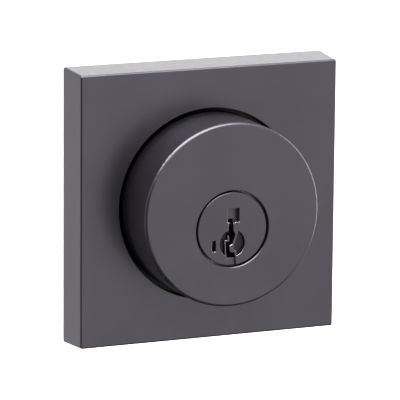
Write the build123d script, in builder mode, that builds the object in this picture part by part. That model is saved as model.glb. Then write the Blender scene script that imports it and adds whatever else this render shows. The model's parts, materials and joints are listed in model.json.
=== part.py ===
from build123d import *
import os

# The keyed outside half of a square-rose deadbolt, as it is held on the door. Millimetres.
# Origin: where the plug's turning axis meets the outside face of the door.
# +Y goes into the door, +X to the right as seen from outside, +Z up.

# ---- square rose ----
ROSE_FRONT = 66.7
ROSE_BACK = 67.8
ROSE_DEPTH = 10.3
ROSE_CORNER = 0.55
ROSE_WALL = 2.7
ROSE_FACE = 2.9
ROSE_EDGE = 0.45
ROSE_HOLE_BREAK = 0.1
ROSE_LIFT = 3.4

# ---- round guard ----
DRUM_R = 22.45
DRUM_DEPTH = 24.4
DRUM_FACE = 3.2
DRUM_EDGE = 0.75
DRUM_HOLE_R = 9.4
DRUM_GAP = 1.1
DRUM_INNER_R = 19.6
DRUM_FLANGE_R = 27.0
FLANGE = 2.0
HOLE_BREAK = 0.15

# ---- housing, with the barrel and the two posts behind it ----
HOUSING_FRONT = -20.9
HOUSING_BACK = -2.2
HOUSING_R = 19.2
HOUSING_FLANGE_R = 25.5
BARREL_R = 11.0
BARREL_END = 5.2
POST_X = 19.0
POST_R = 4.0
POST_END = 10.0
POST_MOUTH = 0.5
TAP_R = 2.1
TAP_DEPTH = 13.0
GUARD_BALL_R = 1.6
GUARD_BALL_PLAY = 0.1
GUARD_BALL_SPOTS = ((-11.7, 1.5), (-8.2, -8.8))

# ---- back plate and its screws ----
BACK_PLATE_R = 27.5
BACK_PLATE_T = 1.2
BACK_PLATE_EDGE = 0.35
SCREW_Z = 17.0
SCREW_SPOTS = ((0, ROSE_LIFT + SCREW_Z), (0, ROSE_LIFT - SCREW_Z))
SCREW_R = 1.25
SCREW_LENGTH = 5.0
SCREW_HEAD_R = 2.3
SCREW_HEAD_T = 0.9
SCREW_SLOT = (2.4, 0.6)
SCREW_SLOT_DEPTH = 0.6

# ---- plug ----
PLUG_HEAD_R = 8.95
PLUG_R = 8.5
PLUG_RECESS = 0.2
BORE_R = 8.55
PLUG_END = 5.5
NECK_R = 6.5
NECK_END = 9.0
GROOVE_R = 5.4
GROOVE_W = 1.0
CLIP_R = 9.8
CLIP_T = 0.8
CLIP_MOUTH = 8.64
KEYWAY_END = 1.2

# ---- cuts in the plug's face ----
GUARD_SEAT_Z = -3.55
GUARD_SEAT_R = 3.37
GUARD_SEAT = 3.0
GUARD_SINK = 1.0
STEP_SPOT = (0.3, 3.3)
STEP_SIZE = (3.2, 3.5)
STEP_SINK = 1.5
KEY_FOOT_SINK = 0.7
TOOL_SLOT_SPOT = (-4.7, -3.9)
TOOL_SLOT_SIZE = (1.05, 2.7)
TOOL_SLOT_DEPTH = 3.1

# ---- pins, their chambers and springs ----
PIN_COUNT = 5
PIN_PITCH = 3.81
FIRST_PIN_Y = -17.6
PIN_X = 0.5
PIN_R = 1.33
PIN_WAIST_R = 0.9
PIN_TIP_Z = -1.4
PIN_TAPER = 0.8
PIN_TOP_Z = 3.5
CHAMBER_R = 1.40
CHAMBER_LOW_Z = -1.6
CHAMBER_TOP_Z = 7.35
COVER_W = 4.3
COVER_MARGIN = 1.95
SPRING_WIRE_R = 0.14
SPRING_R = 1.1
SPRING_PITCH = 0.85

# ---- racks ----
RACK_LEFT = -4.5
RACK_RIGHT = -2.4
RACK_LOW = -2.4
RACK_HIGH = 3.4
RACK_W = 2.3
RACK_GAP = 0.25
RACK_TRAVEL_ROOM = 2.6
RACK_TOOTH_Z = 0.9
RACK_TOOTH_T = 0.5
RACK_TOOTH_W = 1.0
RACK_TOOTH_REACH = 0.3
WAIST_HALF = 0.3
GATE_DEPTH = 1.0
GATE_LIFTS = (1.2, 0.6, 1.8, 0.9, 1.5)

# ---- sidebar ----
SIDEBAR_FRONT_Y = -20.85
SIDEBAR_BACK_Y = 1.1
SIDEBAR_END_PLAY = 0.15
SIDEBAR_INNER_X = -6.9
SIDEBAR_SHOULDER_X = -8.2
SIDEBAR_NOSE_X = -9.1
SIDEBAR_NOSE_HALF = 0.5
SIDEBAR_HALF = 1.35
SIDEBAR_SLOT_HALF = 1.5
SIDEBAR_SLOT_X = -5.95
SIDEBAR_GROOVE_R = 9.4
SIDEBAR_SPRING_YS = (-20.0, 0.25)
SIDEBAR_SPRING_R = 0.6
SIDEBAR_SPRING_WALL = 0.25
SIDEBAR_SPRING_LENGTH = 1.45
SIDEBAR_SPRING_SINK = 0.1
FOOT_W = 1.2
FOOT_H = 1.0
FOOT_LENGTH = 1.5
FOOT_TIP_X = -5.45
FOOT_WINDOW = (1.8, 1.4)
FOOT_WINDOW_X = -5.35

# ---- torque blade and the pocket that drives it ----
POCKET_Y = 2.5
POCKET_R = 3.3
POCKET_SPAN = 9.2
BLADE_SWING = 45
SWING_STEP = 15
BLADE_START_Y = 2.8
BLADE_END_Y = 51.0
BLADE_W = 6.2
BLADE_T = 2.6
BLADE_HEAD_W = 8.4
BLADE_HEAD_T = 2.0
BLADE_HEAD_LENGTH = 2.4
SCORE_YS = (27.0, 33.0, 39.0, 45.0)
SCORE_W = 0.6
SCORE_DEPTH = 0.25

# ---- clearances ----
FIT = 0.05
SEAT_GAP = 0.1
CLEAR = 0.3
PAST = 1.0

pin_stations = [FIRST_PIN_Y + PIN_PITCH * i for i in range(PIN_COUNT)]
pin_middle_y = (pin_stations[0] + pin_stations[-1]) / 2
cover_length = pin_stations[-1] - pin_stations[0] + 2 * COVER_MARGIN
rack_tooth_length = PIN_X - PIN_R + RACK_TOOTH_REACH - RACK_RIGHT
drum_front_y = -DRUM_DEPTH
drum_inner_y = -DRUM_DEPTH + DRUM_FACE
plug_face_y = -DRUM_DEPTH + PLUG_RECESS
flange_front_y = -ROSE_DEPTH + ROSE_FACE + SEAT_GAP
flange_back_y = flange_front_y + FLANGE
housing_flange_y = flange_back_y + SEAT_GAP
back_plate_y = HOUSING_BACK + BACK_PLATE_T
post_spots = ((-POST_X, 0), (POST_X, 0))

os.makedirs("parts", exist_ok=True)


def door_plane(y):
    """A plane square to the turning axis at depth y, facing out of the door."""
    return Plane.XZ.offset(-y)


# ==== rose, guard, housing ====
with BuildPart() as exterior_rose:
    with BuildSketch(door_plane(0)):
        with Locations((0, ROSE_LIFT)):
            RectangleRounded(ROSE_BACK, ROSE_BACK, ROSE_CORNER)
    with BuildSketch(door_plane(-ROSE_DEPTH)):
        with Locations((0, ROSE_LIFT)):
            RectangleRounded(ROSE_FRONT, ROSE_FRONT, ROSE_CORNER)
    loft()
    front_edges = exterior_rose.edges().group_by(Axis.Y)[0]
    fillet(front_edges, ROSE_EDGE)
    with BuildSketch(door_plane(0)):
        with Locations((0, ROSE_LIFT)):
            RectangleRounded(ROSE_BACK - 2 * ROSE_WALL, ROSE_BACK - 2 * ROSE_WALL, ROSE_CORNER)
    extrude(amount=ROSE_DEPTH - ROSE_FACE, mode=Mode.SUBTRACT)
    with BuildSketch(door_plane(0)):
        with Locations((0, ROSE_LIFT)):
            Circle(DRUM_R + DRUM_GAP)
    extrude(amount=ROSE_DEPTH, mode=Mode.SUBTRACT)
    rim = exterior_rose.edges().filter_by(GeomType.CIRCLE).group_by(Axis.Y)[0]
    chamfer(rim.filter_by(lambda e: e.radius > DRUM_R), ROSE_HOLE_BREAK)
exterior_rose.part.label = "exterior_rose"
export_step(exterior_rose.part, "parts/exterior_rose.step")

with BuildPart() as cylinder_guard:
    with BuildSketch(door_plane(flange_back_y)):
        with Locations((0, ROSE_LIFT)):
            Circle(DRUM_FLANGE_R)
    extrude(amount=FLANGE)
    with BuildSketch(door_plane(flange_back_y)):
        with Locations((0, ROSE_LIFT)):
            Circle(DRUM_R)
    extrude(amount=flange_back_y - drum_front_y)
    front_rim = cylinder_guard.edges().filter_by(GeomType.CIRCLE).group_by(Axis.Y)[0]
    fillet(front_rim, DRUM_EDGE)
    with BuildSketch(door_plane(flange_back_y)):
        with Locations((0, ROSE_LIFT)):
            Circle(DRUM_INNER_R)
    extrude(amount=flange_back_y - drum_inner_y, mode=Mode.SUBTRACT)
    with BuildSketch(door_plane(drum_inner_y)):
        Circle(DRUM_HOLE_R)
    extrude(amount=DRUM_FACE, mode=Mode.SUBTRACT)
    hole_edges = cylinder_guard.edges().filter_by(GeomType.CIRCLE).group_by(Axis.Y)[0]
    chamfer(hole_edges.filter_by(lambda e: e.radius < DRUM_HOLE_R + FIT), HOLE_BREAK)
cylinder_guard.part.label = "cylinder_guard"
export_step(cylinder_guard.part, "parts/cylinder_guard.step")

with BuildPart() as cylinder_housing:
    with BuildSketch(door_plane(housing_flange_y)):
        with Locations((0, ROSE_LIFT)):
            Circle(HOUSING_R)
    extrude(amount=housing_flange_y - HOUSING_FRONT)
    with BuildSketch(door_plane(HOUSING_BACK)):
        with Locations((0, ROSE_LIFT)):
            Circle(HOUSING_FLANGE_R)
    extrude(amount=HOUSING_BACK - housing_flange_y)
    with BuildSketch(door_plane(BARREL_END)):
        Circle(BARREL_R)
    extrude(amount=BARREL_END - HOUSING_BACK)
    with BuildSketch(door_plane(POST_END)):
        with Locations(*post_spots):
            Circle(POST_R)
    extrude(amount=POST_END - HOUSING_BACK)
    post_rims = cylinder_housing.edges().filter_by(GeomType.CIRCLE).group_by(Axis.Y)[-1]
    chamfer(post_rims, POST_MOUTH)
    with BuildSketch(door_plane(POST_END)):
        with Locations(*post_spots):
            Circle(TAP_R)
    extrude(amount=TAP_DEPTH, mode=Mode.SUBTRACT)
    with BuildSketch(door_plane(BARREL_END)):
        Circle(BORE_R)
    extrude(amount=BARREL_END - HOUSING_FRONT, mode=Mode.SUBTRACT)
    # the sidebar's groove, carried round the quarter turn that the plug makes
    with BuildSketch(door_plane(SIDEBAR_BACK_Y + CLEAR)):
        Circle(SIDEBAR_GROOVE_R)
        Polygon((0, 0), (6, 30), (-30, 30), (-30, -6), align=None, mode=Mode.INTERSECT)
    extrude(amount=SIDEBAR_BACK_Y + CLEAR - HOUSING_FRONT, mode=Mode.SUBTRACT)
    with BuildSketch(door_plane(HOUSING_BACK)):
        with Locations(*SCREW_SPOTS):
            Circle(SCREW_R + FIT)
    extrude(amount=SCREW_LENGTH + CLEAR, mode=Mode.SUBTRACT)
    with BuildSketch(door_plane(HOUSING_FRONT)):
        with Locations(*GUARD_BALL_SPOTS):
            Circle(GUARD_BALL_R + FIT)
    extrude(amount=-2 * (GUARD_BALL_R + GUARD_BALL_PLAY), mode=Mode.SUBTRACT)
cylinder_housing.part.label = "cylinder_housing"
export_step(cylinder_housing.part, "parts/cylinder_housing.step")

with BuildPart() as drill_guard_balls:
    for x, z in GUARD_BALL_SPOTS:
        with Locations((x, HOUSING_FRONT + GUARD_BALL_R + GUARD_BALL_PLAY, z)):
            Sphere(GUARD_BALL_R)
drill_guard_balls.part.label = "drill_guard_balls"
export_step(drill_guard_balls.part, "parts/drill_guard_balls.step")

with BuildPart() as back_plate:
    with BuildSketch(door_plane(back_plate_y)):
        with Locations((0, ROSE_LIFT)):
            Circle(BACK_PLATE_R)
    extrude(amount=BACK_PLATE_T)
    fillet(back_plate.edges().group_by(Axis.Y)[-1], BACK_PLATE_EDGE)
    with BuildSketch(door_plane(back_plate_y)):
        Circle(BARREL_R + FIT)
        with Locations(*post_spots):
            Circle(POST_R + FIT)
        with Locations(*SCREW_SPOTS):
            Circle(SCREW_R + CLEAR)
    extrude(amount=BACK_PLATE_T, mode=Mode.SUBTRACT)
back_plate.part.label = "back_plate"
export_step(back_plate.part, "parts/back_plate.step")

with BuildPart() as back_plate_screws:
    for spot in SCREW_SPOTS:
        with BuildSketch(door_plane(back_plate_y + SCREW_HEAD_T)):
            with Locations(spot):
                Circle(SCREW_HEAD_R)
        extrude(amount=SCREW_HEAD_T)
        with BuildSketch(door_plane(back_plate_y)):
            with Locations(spot):
                Circle(SCREW_R)
        extrude(amount=BACK_PLATE_T + SCREW_LENGTH)
        with BuildSketch(door_plane(back_plate_y + SCREW_HEAD_T)):
            with Locations(spot):
                Rectangle(*SCREW_SLOT)
                Rectangle(*reversed(SCREW_SLOT))
        extrude(amount=SCREW_SLOT_DEPTH, mode=Mode.SUBTRACT)
back_plate_screws.part.label = "back_plate_screws"
export_step(back_plate_screws.part, "parts/back_plate_screws.step")


# ==== the plug and what turns with it ====
def keyway_outline():
    """The warded slot that runs the length of the pins."""
    Polygon(
        (-0.45, 2.2),
        (0.75, 2.2),
        (0.75, 1.6),
        (0.4, 1.3),
        (0.4, -0.5),
        (0.8, -1.2),
        (0.8, -1.9),
        (0.05, -3.8),
        (-0.65, -4.1),
        (-0.6, -5.3),
        (-0.2, -5.7),
        (0.65, -5.8),
        (0.95, -7.2),
        (-1.4, -7.2),
        (-1.7, -4.6),
        (-1.7, -3.05),
        (-0.8, -3.0),
        (-0.8, -1.8),
        (-1.3, -1.4),
        (-1.3, -1.0),
        (-0.95, -0.3),
        (-0.95, 1.3),
        (-0.45, 1.6),
        align=None,
    )


def guard_seat_outline(gap):
    """A round seat in the plug's face, cut away to leave lips along the keyway."""
    with Locations((0, GUARD_SEAT_Z)):
        Circle(GUARD_SEAT_R - gap)
    Polygon(
        (-1.15 - gap, 1.0),
        (-1.15 - gap, -2.7 + gap),
        (-1.95 - gap, -2.7 + gap),
        (-1.75 - gap, -7.5),
        (1.3 + gap, -7.5),
        (1.0 + gap, -5.3 + gap),
        (0.3 + gap, -5.1 + gap),
        (0.4 + gap, -4.2),
        (1.1 + gap, -2.2),
        (1.5 + gap, -0.6),
        (1.5 + gap, 1.0),
        align=None,
        mode=Mode.SUBTRACT,
    )


with BuildPart() as key_plug:
    with BuildSketch(door_plane(drum_inner_y + FIT)):
        Circle(PLUG_HEAD_R)
    extrude(amount=DRUM_FACE - PLUG_RECESS + FIT)
    head_rim = key_plug.edges().filter_by(GeomType.CIRCLE).group_by(Axis.Y)[0]
    chamfer(head_rim, HOLE_BREAK)
    with BuildSketch(door_plane(PLUG_END)):
        Circle(PLUG_R)
    extrude(amount=PLUG_END - drum_inner_y - FIT)
    with BuildSketch(door_plane(NECK_END)):
        Circle(NECK_R)
    extrude(amount=NECK_END - PLUG_END)
    # clip groove
    with BuildSketch(door_plane(PLUG_END + GROOVE_W)):
        Circle(NECK_R)
        Circle(GROOVE_R, mode=Mode.SUBTRACT)
    extrude(amount=GROOVE_W, mode=Mode.SUBTRACT)
    # keyway, its shallow foot, drill guard seat, step over the keyway, resetting tool slot
    with BuildSketch(door_plane(KEYWAY_END)):
        keyway_outline()
    extrude(amount=DRUM_DEPTH + KEYWAY_END, mode=Mode.SUBTRACT)
    with BuildSketch(door_plane(plug_face_y + KEY_FOOT_SINK)):
        Polygon((-1.4, -6.9), (0.95, -6.9), (1.1, -9.5), (-1.6, -9.5), align=None)
    extrude(amount=KEY_FOOT_SINK, mode=Mode.SUBTRACT)
    with BuildSketch(door_plane(plug_face_y + GUARD_SEAT)):
        guard_seat_outline(0)
    extrude(amount=GUARD_SEAT, mode=Mode.SUBTRACT)
    with BuildSketch(door_plane(plug_face_y + STEP_SINK)):
        with Locations(STEP_SPOT):
            Rectangle(*STEP_SIZE)
    extrude(amount=STEP_SINK, mode=Mode.SUBTRACT)
    with BuildSketch(door_plane(plug_face_y + TOOL_SLOT_DEPTH)):
        with Locations(TOOL_SLOT_SPOT):
            Rectangle(*TOOL_SLOT_SIZE)
    extrude(amount=TOOL_SLOT_DEPTH, mode=Mode.SUBTRACT)
    # pin chambers, with a seat for the spring cover over them
    with BuildSketch(Plane.XY.offset(CHAMBER_LOW_Z)):
        with Locations(*[(PIN_X, y) for y in pin_stations]):
            Circle(CHAMBER_R)
    extrude(amount=CHAMBER_TOP_Z - CHAMBER_LOW_Z + SEAT_GAP, mode=Mode.SUBTRACT)
    with BuildSketch(Plane.XY.offset(CHAMBER_TOP_Z)):
        with Locations((PIN_X, pin_middle_y)):
            Rectangle(COVER_W + 2 * FIT, cover_length + 2 * FIT)
    extrude(amount=PLUG_R, mode=Mode.SUBTRACT)
    # a slot for each rack, and windows for the sidebar's feet
    for y in pin_stations:
        with BuildSketch(door_plane(y + RACK_W / 2 + RACK_GAP)):
            Polygon(
                (RACK_LEFT - CLEAR, RACK_LOW - CLEAR),
                (PIN_X - CHAMBER_R / 2, RACK_LOW - CLEAR),
                (PIN_X - CHAMBER_R / 2, RACK_HIGH + RACK_TRAVEL_ROOM),
                (RACK_LEFT - CLEAR, RACK_HIGH + RACK_TRAVEL_ROOM),
                align=None,
            )
        extrude(amount=RACK_W + 2 * RACK_GAP, mode=Mode.SUBTRACT)
        with BuildSketch(door_plane(y + FOOT_W / 2 + RACK_GAP)):
            with Locations((FOOT_WINDOW_X, 0)):
                Rectangle(*FOOT_WINDOW)
        extrude(amount=FOOT_W + 2 * RACK_GAP, mode=Mode.SUBTRACT)
    with BuildSketch(door_plane(SIDEBAR_BACK_Y + SIDEBAR_END_PLAY)):
        with Locations((SIDEBAR_SLOT_X, 0)):
            Rectangle(PLUG_R, 2 * SIDEBAR_SLOT_HALF, align=(Align.MAX, Align.CENTER))
    extrude(amount=SIDEBAR_BACK_Y - SIDEBAR_FRONT_Y + 2 * SIDEBAR_END_PLAY, mode=Mode.SUBTRACT)
    with BuildSketch(Plane.YZ.offset(SIDEBAR_SLOT_X - 2 * SIDEBAR_SPRING_SINK)):
        with Locations(*[(y, 0) for y in SIDEBAR_SPRING_YS]):
            Circle(SIDEBAR_SPRING_R + SEAT_GAP)
    extrude(amount=SIDEBAR_SPRING_LENGTH + 2 * SEAT_GAP, mode=Mode.SUBTRACT)
    # bow-tie pocket, which gives the torque blade a free quarter turn
    with BuildSketch(door_plane(NECK_END)):
        Circle(POCKET_R)
        for turn in range(-BLADE_SWING, BLADE_SWING + 1, SWING_STEP):
            with Locations(Location((0, 0), turn)):
                Rectangle(BLADE_HEAD_T + 2 * CLEAR, POCKET_SPAN)
    extrude(amount=NECK_END - POCKET_Y, mode=Mode.SUBTRACT)
key_plug.part.label = "key_plug"
export_step(key_plug.part, "parts/key_plug.step")

with BuildPart() as drill_guards:
    with BuildSketch(door_plane(plug_face_y + GUARD_SEAT)):
        guard_seat_outline(FIT)
    extrude(amount=GUARD_SEAT - GUARD_SINK)
drill_guards.part.label = "drill_guards"
export_step(drill_guards.part, "parts/drill_guards.step")

with BuildPart() as plug_spring_cover:
    with BuildSketch(door_plane(pin_middle_y + cover_length / 2)):
        Circle(PLUG_R - FIT)
        with Locations((PIN_X, CHAMBER_TOP_Z + FIT)):
            Rectangle(COVER_W, PLUG_R, align=(Align.CENTER, Align.MIN), mode=Mode.INTERSECT)
    extrude(amount=cover_length)
plug_spring_cover.part.label = "plug_spring_cover"
export_step(plug_spring_cover.part, "parts/plug_spring_cover.step")

with BuildPart() as plug_retaining_clip:
    with BuildSketch(door_plane(PLUG_END + (GROOVE_W + CLIP_T) / 2)):
        Circle(CLIP_R)
        Circle(GROOVE_R + FIT, mode=Mode.SUBTRACT)
        Rectangle(CLIP_MOUTH, CLIP_R + PAST, align=(Align.CENTER, Align.MAX), mode=Mode.SUBTRACT)
    extrude(amount=CLIP_T)
plug_retaining_clip.part.label = "plug_retaining_clip"
export_step(plug_retaining_clip.part, "parts/plug_retaining_clip.step")

# ==== one pin, rack and spring for each cut of the key ====
for number, (y, gate_lift) in enumerate(zip(pin_stations, GATE_LIFTS), start=1):
    with BuildPart() as pin:
        with BuildSketch(door_plane(y)):
            Polygon(
                (PIN_X, PIN_TIP_Z),
                (PIN_X + PIN_R / 3, PIN_TIP_Z),
                (PIN_X + PIN_R, PIN_TIP_Z + PIN_TAPER),
                (PIN_X + PIN_R, RACK_TOOTH_Z - WAIST_HALF),
                (PIN_X + PIN_WAIST_R, RACK_TOOTH_Z - WAIST_HALF),
                (PIN_X + PIN_WAIST_R, RACK_TOOTH_Z + WAIST_HALF),
                (PIN_X + PIN_R, RACK_TOOTH_Z + WAIST_HALF),
                (PIN_X + PIN_R, PIN_TOP_Z),
                (PIN_X, PIN_TOP_Z),
                align=None,
            )
        revolve(axis=Axis((PIN_X, y, 0), (0, 0, 1)))
    pin.part.label = f"pin_{number}"
    export_step(pin.part, f"parts/pin_{number}.step")

    with BuildPart() as rack:
        with BuildSketch(door_plane(y + RACK_W / 2)):
            with Locations((RACK_LEFT, RACK_LOW)):
                Rectangle(RACK_RIGHT - RACK_LEFT, RACK_HIGH - RACK_LOW, align=(Align.MIN, Align.MIN))
            # the gate that lets the sidebar's foot in when the rack is lifted by its own amount
            with Locations((RACK_LEFT, -gate_lift)):
                Rectangle(2 * GATE_DEPTH, FOOT_H + CLEAR, mode=Mode.SUBTRACT)
        extrude(amount=RACK_W)
        # the tooth that sits in the pin's waist
        with BuildSketch(door_plane(y + RACK_TOOTH_W / 2)):
            with Locations((RACK_RIGHT, RACK_TOOTH_Z)):
                Rectangle(rack_tooth_length, RACK_TOOTH_T, align=(Align.MIN, Align.CENTER))
        extrude(amount=RACK_TOOTH_W)
    rack.part.label = f"rack_{number}"
    export_step(rack.part, f"parts/rack_{number}.step")

    with BuildPart() as pin_spring:
        with BuildLine():
            coil = Helix(
                pitch=SPRING_PITCH,
                height=CHAMBER_TOP_Z - PIN_TOP_Z - 2 * SPRING_WIRE_R - 2 * FIT,
                radius=SPRING_R,
                center=(PIN_X, y, PIN_TOP_Z + SPRING_WIRE_R + FIT),
            )
        with BuildSketch(Plane(origin=coil @ 0, z_dir=coil % 0)):
            Circle(SPRING_WIRE_R)
        sweep(is_frenet=True)
    pin_spring.part.label = f"pin_spring_{number}"
    export_step(pin_spring.part, f"parts/pin_spring_{number}.step")

# ==== sidebar ====
with BuildPart() as sidebar:
    with BuildSketch(door_plane(SIDEBAR_BACK_Y)):
        Polygon(
            (SIDEBAR_INNER_X, SIDEBAR_HALF),
            (SIDEBAR_SHOULDER_X, SIDEBAR_HALF),
            (SIDEBAR_NOSE_X, SIDEBAR_NOSE_HALF),
            (SIDEBAR_NOSE_X, -SIDEBAR_NOSE_HALF),
            (SIDEBAR_SHOULDER_X, -SIDEBAR_HALF),
            (SIDEBAR_INNER_X, -SIDEBAR_HALF),
            align=None,
        )
    extrude(amount=SIDEBAR_BACK_Y - SIDEBAR_FRONT_Y)
    for y in pin_stations:
        with BuildSketch(door_plane(y + FOOT_W / 2)):
            with Locations((FOOT_TIP_X, 0)):
                Rectangle(FOOT_LENGTH, FOOT_H, align=(Align.MAX, Align.CENTER))
        extrude(amount=FOOT_W)
sidebar.part.label = "sidebar"
export_step(sidebar.part, "parts/sidebar.step")

with BuildPart() as sidebar_springs:
    for y in SIDEBAR_SPRING_YS:
        with BuildSketch(Plane.YZ.offset(SIDEBAR_SLOT_X - SIDEBAR_SPRING_SINK)):
            with Locations((y, 0)):
                Circle(SIDEBAR_SPRING_R)
                Circle(SIDEBAR_SPRING_R - SIDEBAR_SPRING_WALL, mode=Mode.SUBTRACT)
        extrude(amount=SIDEBAR_SPRING_LENGTH)
sidebar_springs.part.label = "sidebar_springs"
export_step(sidebar_springs.part, "parts/sidebar_springs.step")

# ==== torque blade, scored so that it snaps to length for a thinner door ====
with BuildPart() as torque_blade:
    with BuildSketch(door_plane(BLADE_END_Y)):
        Circle(BLADE_W / 2)
        Rectangle(BLADE_T, BLADE_W, mode=Mode.INTERSECT)
    extrude(amount=BLADE_END_Y - BLADE_START_Y)
    with BuildSketch(door_plane(BLADE_START_Y + BLADE_HEAD_LENGTH)):
        Rectangle(BLADE_HEAD_T, BLADE_HEAD_W)
    extrude(amount=BLADE_HEAD_LENGTH)
    for y in SCORE_YS:
        with BuildSketch(door_plane(y + SCORE_W / 2)):
            with Locations((-BLADE_T / 2, 0), (BLADE_T / 2, 0)):
                Rectangle(2 * SCORE_DEPTH, BLADE_W)
        extrude(amount=SCORE_W, mode=Mode.SUBTRACT)
torque_blade.part.label = "torque_blade"
export_step(torque_blade.part, "parts/torque_blade.step")
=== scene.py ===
import json
import math

import bmesh
import bpy
from mathutils import Matrix, Vector


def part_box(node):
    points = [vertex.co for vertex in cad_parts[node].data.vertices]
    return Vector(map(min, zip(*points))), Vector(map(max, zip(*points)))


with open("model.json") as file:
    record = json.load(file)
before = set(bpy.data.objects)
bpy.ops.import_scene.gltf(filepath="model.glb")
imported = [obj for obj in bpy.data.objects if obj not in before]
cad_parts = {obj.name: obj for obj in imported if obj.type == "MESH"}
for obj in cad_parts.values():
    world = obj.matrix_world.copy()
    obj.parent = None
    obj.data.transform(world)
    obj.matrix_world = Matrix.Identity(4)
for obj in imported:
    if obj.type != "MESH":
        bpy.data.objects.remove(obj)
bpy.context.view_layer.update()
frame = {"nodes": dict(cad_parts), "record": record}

# Lengths are in metres. A noise scale is in cycles per metre.

# ---- camera: the lock seen from a little left of and above its face ----
CAMERA_AZ = math.radians(-23.03)
CAMERA_EL = math.radians(12.03)
CAMERA_ROLL = math.radians(0.46)
CAMERA_DISTANCE = 0.939
CAMERA_LENS = 346.0
CAMERA_SENSOR = 36.0
CAMERA_SHIFT = (0.0178, -0.0118)
CAMERA_NEAR = 0.01

# ---- charcoal lacquer ----
CHARCOAL = (0.077, 0.070, 0.085)
PLUG_SHADE = 0.97
LACQUER_METALLIC = 0.96
COAT_WEIGHT = 0.25
COAT_ROUGH = 0.22
MOTTLE_SCALE = 55.0
MOTTLE_DARK, MOTTLE_LIGHT = 0.95, 1.06
GLOSS_SCALE = 900.0
PEEL_SCALE, PEEL_STRENGTH, PEEL_HEIGHT = 420.0, 0.03, 0.0004
GRAIN_SCALE, GRAIN_STRENGTH, GRAIN_HEIGHT = 4200.0, 0.05, 0.00006

# ---- painted shade: the gap between the rose and the guard is painted black ----
ROSE_HOLE_R = 0.02356
GAP_PAINTED_SHADE = (0.0015, 0.0014, 0.0016)
GAP_EDGE = 0.00005
GAP_FADE = 0.0003
ROSE_GAP_START = 0.0001
GUARD_GAP_START = 0.0002
WHOLE_GUARD_R = 1.0

# ---- wear on the plug's face: depths are from the face, radii from the keyway's middle ----
BARE_METAL = (0.62, 0.58, 0.61)
EDGE_WEAR = 0.00016
EDGE_SAMPLES = 6
EDGE_TURN = (0.80, 0.97)
WORN_MIDDLE_Z = -0.001
WORN_RADIUS = (0.0066, 0.0072)
LIP_DEPTH = (0.0004, 0.0012)
CUT_DEPTH = (0.0032, 0.0042)
CUT_BARENESS = 0.5
PATCH_SCALE = 1900.0
PATCH_RANGE = (0.20, 0.45)

# ---- bare and plated metals ----
DRAW_SCALE_ACROSS, DRAW_SCALE_ALONG = 2600.0, 45.0
DRAW_STRENGTH, DRAW_HEIGHT = 0.12, 0.00008
STEEL_MOTTLE_SCALE, STEEL_DARK = 160.0, 0.86
CAST_BLOOM_SCALE, CAST_DARK = 240.0, 0.8
CAST_ROUGH = (0.38, 0.55)
CAST_GRAIN_SCALE, CAST_STRENGTH, CAST_HEIGHT = 1500.0, 0.25, 0.00008

# ---- studio: the dark side and the dark foot are what reflections see ----
FLOOR_Z = -0.16
FLOOR_HALF = 4.0
FLOOR_COLOUR = (0.9, 0.9, 0.9, 1.0)
FLOOR_ROUGH = 0.8
DARK_SIDE = (-0.90, -0.42, -0.12)
DARK_SIDE_SPREAD = (0.62, 0.90)
DARK_SIDE_LIGHT = 0.10
FOOT_HEIGHTS = (-0.75, -0.30)
FOOT_LIGHT = 0.08
LEFTWARD = (-0.8, 0.2)
LEFT_LIGHT, LEFT_TO_RIGHT = 0.65, 0.35


def box_centre(node):
    low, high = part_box(node)
    return [(a + b) / 2 for a, b in zip(low, high)]


# ================= material helpers =================
def ramp(tree, source, stops):
    made = tree.nodes.new("ShaderNodeValToRGB")
    tree.links.new(source, made.inputs["Fac"])
    while len(made.color_ramp.elements) < len(stops):
        made.color_ramp.elements.new(0.5)
    for element, (place, value) in zip(made.color_ramp.elements, stops):
        element.position = place
        element.color = (value, value, value, 1.0) if isinstance(value, float) else (*value, 1.0)
    return made.outputs["Color"]


def noise(tree, vector, scale, detail, rough=0.5):
    made = tree.nodes.new("ShaderNodeTexNoise")
    made.inputs["Scale"].default_value = scale
    made.inputs["Detail"].default_value = detail
    made.inputs["Roughness"].default_value = rough
    tree.links.new(vector, made.inputs["Vector"])
    return made.outputs["Fac"]


def stretched(tree, coords, scale):
    made = tree.nodes.new("ShaderNodeMapping")
    made.inputs["Scale"].default_value = scale
    tree.links.new(coords, made.inputs["Vector"])
    return made.outputs["Vector"]


def mix_colour(tree, fac, a, b):
    """Colour a where fac is 0 and b where it is 1; a and b are sockets or plain colours."""
    made = tree.nodes.new("ShaderNodeMix")
    made.data_type = "RGBA"
    factor, first, second = made.inputs[0], made.inputs[6], made.inputs[7]
    tree.links.new(fac, factor)
    for socket, value in ((first, a), (second, b)):
        if isinstance(value, bpy.types.NodeSocket):
            tree.links.new(value, socket)
        else:
            socket.default_value = (*value, 1.0)
    return made.outputs[2]


def bumps(tree, height, strength, distance, below=None):
    made = tree.nodes.new("ShaderNodeBump")
    made.inputs["Strength"].default_value = strength
    made.inputs["Distance"].default_value = distance
    tree.links.new(height, made.inputs["Height"])
    if below is not None:
        tree.links.new(below, made.inputs["Normal"])
    return made.outputs["Normal"]


def new_material(name):
    made = bpy.data.materials.new(name)
    made.use_nodes = True
    tree = made.node_tree
    shader = tree.nodes["Principled BSDF"]
    coords = tree.nodes.new("ShaderNodeTexCoord").outputs["Object"]
    return made, tree, shader, coords


def math_node(tree, operation, *values):
    made = tree.nodes.new("ShaderNodeMath")
    made.operation = operation
    for socket, value in zip(made.inputs, values):
        if isinstance(value, bpy.types.NodeSocket):
            tree.links.new(value, socket)
        else:
            socket.default_value = value
    return made.outputs[0]


def between(tree, value, low, high):
    """0 where the value is at low or under, 1 at high or over, straight between them."""
    made = tree.nodes.new("ShaderNodeMapRange")
    made.inputs["From Min"].default_value = low
    made.inputs["From Max"].default_value = high
    tree.links.new(value, made.inputs["Value"])
    return made.outputs["Result"]


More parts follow.
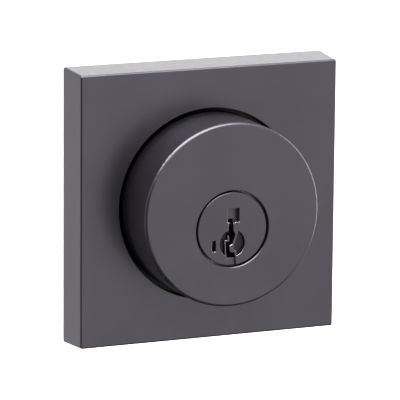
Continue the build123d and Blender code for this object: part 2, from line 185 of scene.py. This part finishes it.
def outside(tree, value, low, high):
    """1 where the value is at low or under, 0 at high or over, straight between them."""
    return math_node(tree, "SUBTRACT", 1.0, between(tree, value, low, high))


def product(tree, *factors):
    result = factors[0]
    for factor in factors[1:]:
        result = math_node(tree, "MULTIPLY", result, factor)
    return result


def shaded(colour, amount):
    return tuple(min(1.0, c * amount) for c in colour)


def depth_and_radius(tree, coords, centre_z):
    """The depth into the door, and the distance from an axis that runs that way."""
    parts = tree.nodes.new("ShaderNodeSeparateXYZ")
    tree.links.new(coords, parts.inputs[0])
    rise = math_node(tree, "SUBTRACT", parts.outputs["Z"], centre_z)
    across_squared = math_node(tree, "POWER", parts.outputs["X"], 2.0)
    rise_squared = math_node(tree, "POWER", rise, 2.0)
    squares = math_node(tree, "ADD", across_squared, rise_squared)
    return parts.outputs["Y"], math_node(tree, "SQRT", squares)


# ================= materials =================
def lacquered(name, colour=CHARCOAL, rough=(0.30, 0.36), gap_shade=None):
    """Dark satin lacquer over die-cast metal: faint mottle, orange peel and a fine grain.

    gap_shade is (axis height, radius, depth): inside that radius and past that depth it is
    painted black and dull, a painted shade for the shadowed gap.
    """
    made, tree, shader, coords = new_material(name)
    cloud = noise(tree, coords, MOTTLE_SCALE, 4.0)
    darker = shaded(colour, MOTTLE_DARK)
    lighter = shaded(colour, MOTTLE_LIGHT)
    tint = ramp(tree, cloud, ((0.35, darker), (0.65, lighter)))
    gloss = ramp(tree, noise(tree, coords, GLOSS_SCALE, 5.0, 0.6), ((0.3, rough[0]), (0.7, rough[1])))
    if gap_shade is not None:
        centre_z, gap_radius, gap_depth = gap_shade
        depth, radius = depth_and_radius(tree, coords, centre_z)
        # painted shade: deep in the gap the lacquer is painted near black and made fully rough
        painted_shade_mask = product(tree, outside(tree, radius, gap_radius, gap_radius + GAP_EDGE),
                         between(tree, depth, gap_depth, gap_depth + GAP_FADE))
        tint = mix_colour(tree, painted_shade_mask, tint, GAP_PAINTED_SHADE)
        gloss = math_node(tree, "MAXIMUM", gloss, painted_shade_mask)
    tree.links.new(tint, shader.inputs["Base Color"])
    tree.links.new(gloss, shader.inputs["Roughness"])
    peel = bumps(tree, noise(tree, coords, PEEL_SCALE, 2.0), PEEL_STRENGTH, PEEL_HEIGHT)
    grain = bumps(tree, noise(tree, coords, GRAIN_SCALE, 2.0), GRAIN_STRENGTH, GRAIN_HEIGHT, peel)
    tree.links.new(grain, shader.inputs["Normal"])
    shader.inputs["Metallic"].default_value = LACQUER_METALLIC
    shader.inputs["Coat Weight"].default_value = COAT_WEIGHT
    shader.inputs["Coat Roughness"].default_value = COAT_ROUGH
    return made


def worn_plug(name, colour, face_y):
    """The lacquer of the plug's face, rubbed through to bare metal at the edges of its cuts.

    Deep in the cuts the metal is half bare.
    """
    made = lacquered(name, colour, (0.30, 0.38))
    tree = made.node_tree
    shader = tree.nodes["Principled BSDF"]
    coords = tree.nodes["Texture Coordinate"].outputs["Object"]
    rounded = tree.nodes.new("ShaderNodeBevel")
    rounded.samples = EDGE_SAMPLES
    rounded.inputs["Radius"].default_value = EDGE_WEAR
    flat = tree.nodes.new("ShaderNodeNewGeometry")
    turn = tree.nodes.new("ShaderNodeVectorMath")
    turn.operation = "DOT_PRODUCT"
    tree.links.new(rounded.outputs["Normal"], turn.inputs[0])
    tree.links.new(flat.outputs["Normal"], turn.inputs[1])
    edge = outside(tree, turn.outputs["Value"], *EDGE_TURN)
    depth, radius = depth_and_radius(tree, coords, WORN_MIDDLE_Z)
    middle = outside(tree, radius, *WORN_RADIUS)
    shallow = outside(tree, depth, *(face_y + d for d in LIP_DEPTH))
    deep = between(tree, depth, *(face_y + d for d in CUT_DEPTH))
    patchy = between(tree, noise(tree, coords, PATCH_SCALE, 3.0), *PATCH_RANGE)
    lip = product(tree, edge, patchy, middle, shallow)
    cut = product(tree, middle, deep, CUT_BARENESS)
    bare = math_node(tree, "MAXIMUM", lip, cut)
    paint = shader.inputs["Base Color"].links[0].from_socket
    tree.links.new(mix_colour(tree, bare, paint, BARE_METAL), shader.inputs["Base Color"])
    lowest_bump = shader.inputs["Normal"].links[0].from_node
    while lowest_bump.inputs["Normal"].is_linked:
        lowest_bump = lowest_bump.inputs["Normal"].links[0].from_node
    tree.links.new(rounded.outputs["Normal"], lowest_bump.inputs["Normal"])
    return made


def drawn_steel(name, colour, along, rough):
    """Bare or plated metal with draw marks that run along one axis."""
    made, tree, shader, coords = new_material(name)
    scale = [DRAW_SCALE_ACROSS] * 3
    scale["xyz".index(along)] = DRAW_SCALE_ALONG
    marks = noise(tree, stretched(tree, coords, scale), 1.0, 4.0, 0.6)
    mottle = noise(tree, coords, STEEL_MOTTLE_SCALE, 3.0)
    tint = mix_colour(tree, mottle, shaded(colour, STEEL_DARK), colour)
    tree.links.new(tint, shader.inputs["Base Color"])
    gloss = ramp(tree, marks, ((0.3, rough[0]), (0.7, rough[1])))
    tree.links.new(gloss, shader.inputs["Roughness"])
    tree.links.new(bumps(tree, marks, DRAW_STRENGTH, DRAW_HEIGHT), shader.inputs["Normal"])
    shader.inputs["Metallic"].default_value = 1.0
    return made


def cast_metal(name, colour):
    """Bare die-cast zinc: soft grain with a mottled bloom."""
    made, tree, shader, coords = new_material(name)
    bloom = noise(tree, coords, CAST_BLOOM_SCALE, 5.0, 0.6)
    tint = ramp(tree, bloom, ((0.3, shaded(colour, CAST_DARK)), (0.7, colour)))
    tree.links.new(tint, shader.inputs["Base Color"])
    gloss = ramp(tree, bloom, ((0.3, CAST_ROUGH[1]), (0.7, CAST_ROUGH[0])))
    tree.links.new(gloss, shader.inputs["Roughness"])
    grain = noise(tree, coords, CAST_GRAIN_SCALE, 3.0)
    tree.links.new(bumps(tree, grain, CAST_STRENGTH, CAST_HEIGHT), shader.inputs["Normal"])
    shader.inputs["Metallic"].default_value = 1.0
    return made


rose_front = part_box("exterior_rose")[0][1]
plug_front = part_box("key_plug")[0][1]
drum_z = box_centre("cylinder_guard")[2]
# painted shade in the gap: the rose inside its hole, and the whole guard past the rose's front
rose_gap_shade = (drum_z, ROSE_HOLE_R, rose_front + ROSE_GAP_START)
guard_gap_shade = (drum_z, WHOLE_GUARD_R, rose_front + GUARD_GAP_START)
finishes = {
    "charcoal_rose": lacquered("charcoal_rose", gap_shade=rose_gap_shade),
    "charcoal_guard": lacquered("charcoal_guard", gap_shade=guard_gap_shade),
    "charcoal_plug": worn_plug("charcoal_plug", shaded(CHARCOAL, PLUG_SHADE), plug_front),
    "cast_zinc": cast_metal("cast_zinc", (0.44, 0.44, 0.455)),
    "hardened_steel": drawn_steel("hardened_steel", (0.040, 0.037, 0.041), "z", (0.34, 0.5)),
    "brass": drawn_steel("brass", (0.72, 0.55, 0.28), "y", (0.25, 0.4)),
    "spring_steel": drawn_steel("spring_steel", (0.45, 0.45, 0.46), "x", (0.2, 0.32)),
    "zinc_plated_steel": drawn_steel("zinc_plated_steel", (0.47, 0.475, 0.49), "z", (0.28, 0.42)),
}
slot_of = {row["node"]: row["material_slot"] for row in frame["record"]["subparts"]}
for name, cad in frame["nodes"].items():
    cad.data.materials.clear()
    cad.data.materials.append(finishes[slot_of[name]])


# ================= studio =================
def area_light(name, place, target, size, power):
    data = bpy.data.lights.new(name, "AREA")
    data.shape = "RECTANGLE"
    data.size, data.size_y = size
    data.energy = power
    made = bpy.data.objects.new(name, data)
    bpy.context.scene.collection.objects.link(made)
    made.location = place
    made.rotation_euler = (Vector(target) - Vector(place)).to_track_quat("-Z", "Y").to_euler()


def make_floor():
    """A pale floor that the camera sees and that reflections don't."""
    bm = bmesh.new()
    bmesh.ops.create_grid(bm, x_segments=8, y_segments=8, size=FLOOR_HALF)
    data = bpy.data.meshes.new("floor")
    bm.to_mesh(data)
    bm.free()
    made = bpy.data.objects.new("floor", data)
    made.location = (0, 0, FLOOR_Z)
    bpy.context.scene.collection.objects.link(made)
    surface, _, shader, _ = new_material("pale_floor")
    shader.inputs["Base Color"].default_value = FLOOR_COLOUR
    shader.inputs["Roughness"].default_value = FLOOR_ROUGH
    data.materials.append(surface)
    made.visible_glossy = False


def make_world():
    """White all round as the camera sees it; the metal sees a dark side and a dark foot."""
    world = bpy.data.worlds.new("studio")
    world.use_nodes = True
    tree = world.node_tree
    background = tree.nodes["Background"]
    background.inputs["Color"].default_value = (1.0, 1.0, 1.0, 1.0)
    direction = tree.nodes.new("ShaderNodeTexCoord").outputs["Generated"]
    toward = tree.nodes.new("ShaderNodeVectorMath")
    toward.operation = "DOT_PRODUCT"
    toward.inputs[1].default_value = Vector(DARK_SIDE).normalized()
    tree.links.new(direction, toward.inputs[0])
    axes = tree.nodes.new("ShaderNodeSeparateXYZ")
    tree.links.new(direction, axes.inputs[0])
    off_dark_side = outside(tree, toward.outputs["Value"], *DARK_SIDE_SPREAD)
    above_foot = between(tree, axes.outputs["Z"], *FOOT_HEIGHTS)
    rightward = math_node(tree, "MULTIPLY", between(tree, axes.outputs["X"], *LEFTWARD), LEFT_TO_RIGHT)
    lit = product(
        tree,
        math_node(tree, "ADD", off_dark_side, DARK_SIDE_LIGHT),
        math_node(tree, "ADD", above_foot, FOOT_LIGHT),
        math_node(tree, "ADD", rightward, LEFT_LIGHT),
    )
    seen = tree.nodes.new("ShaderNodeLightPath").outputs["Is Camera Ray"]
    tree.links.new(math_node(tree, "MAXIMUM", lit, seen), background.inputs["Strength"])
    bpy.context.scene.world = world


def make_camera():
    low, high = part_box("exterior_rose")
    target = Vector(((low[0] + high[0]) / 2, high[1], (low[2] + high[2]) / 2))
    away = Vector((
        math.sin(CAMERA_AZ) * math.cos(CAMERA_EL),
        -math.cos(CAMERA_AZ) * math.cos(CAMERA_EL),
        math.sin(CAMERA_EL),
    ))
    right = Vector((math.cos(CAMERA_AZ), math.sin(CAMERA_AZ), 0.0))
    up = away.cross(right)
    rolled_right = right * math.cos(CAMERA_ROLL) + up * math.sin(CAMERA_ROLL)
    rolled_up = away.cross(rolled_right)
    data = bpy.data.cameras.new("camera")
    data.lens = CAMERA_LENS
    data.sensor_width = CAMERA_SENSOR
    data.shift_x, data.shift_y = CAMERA_SHIFT
    data.clip_start = CAMERA_NEAR
    made = bpy.data.objects.new("camera", data)
    turn = Matrix((rolled_right, rolled_up, away)).transposed().to_4x4()
    made.matrix_world = Matrix.Translation(target + away * CAMERA_DISTANCE) @ turn
    bpy.context.scene.collection.objects.link(made)
    bpy.context.scene.camera = made


make_world()
make_floor()
make_camera()
area_light("key_upper_left", (-0.24, -0.24, 0.92), (0, 0, 0), (1.9, 0.9), 49.0)
area_light("top_back", (0.55, 1.3, 0.32), (0, 0, 0.02), (1.0, 0.5), 1.6)
area_light("right_back", (1.25, 0.62, 0.12), (0, 0, 0), (0.5, 1.3), 8.0)
bpy.context.scene.view_settings.view_transform = "Standard"
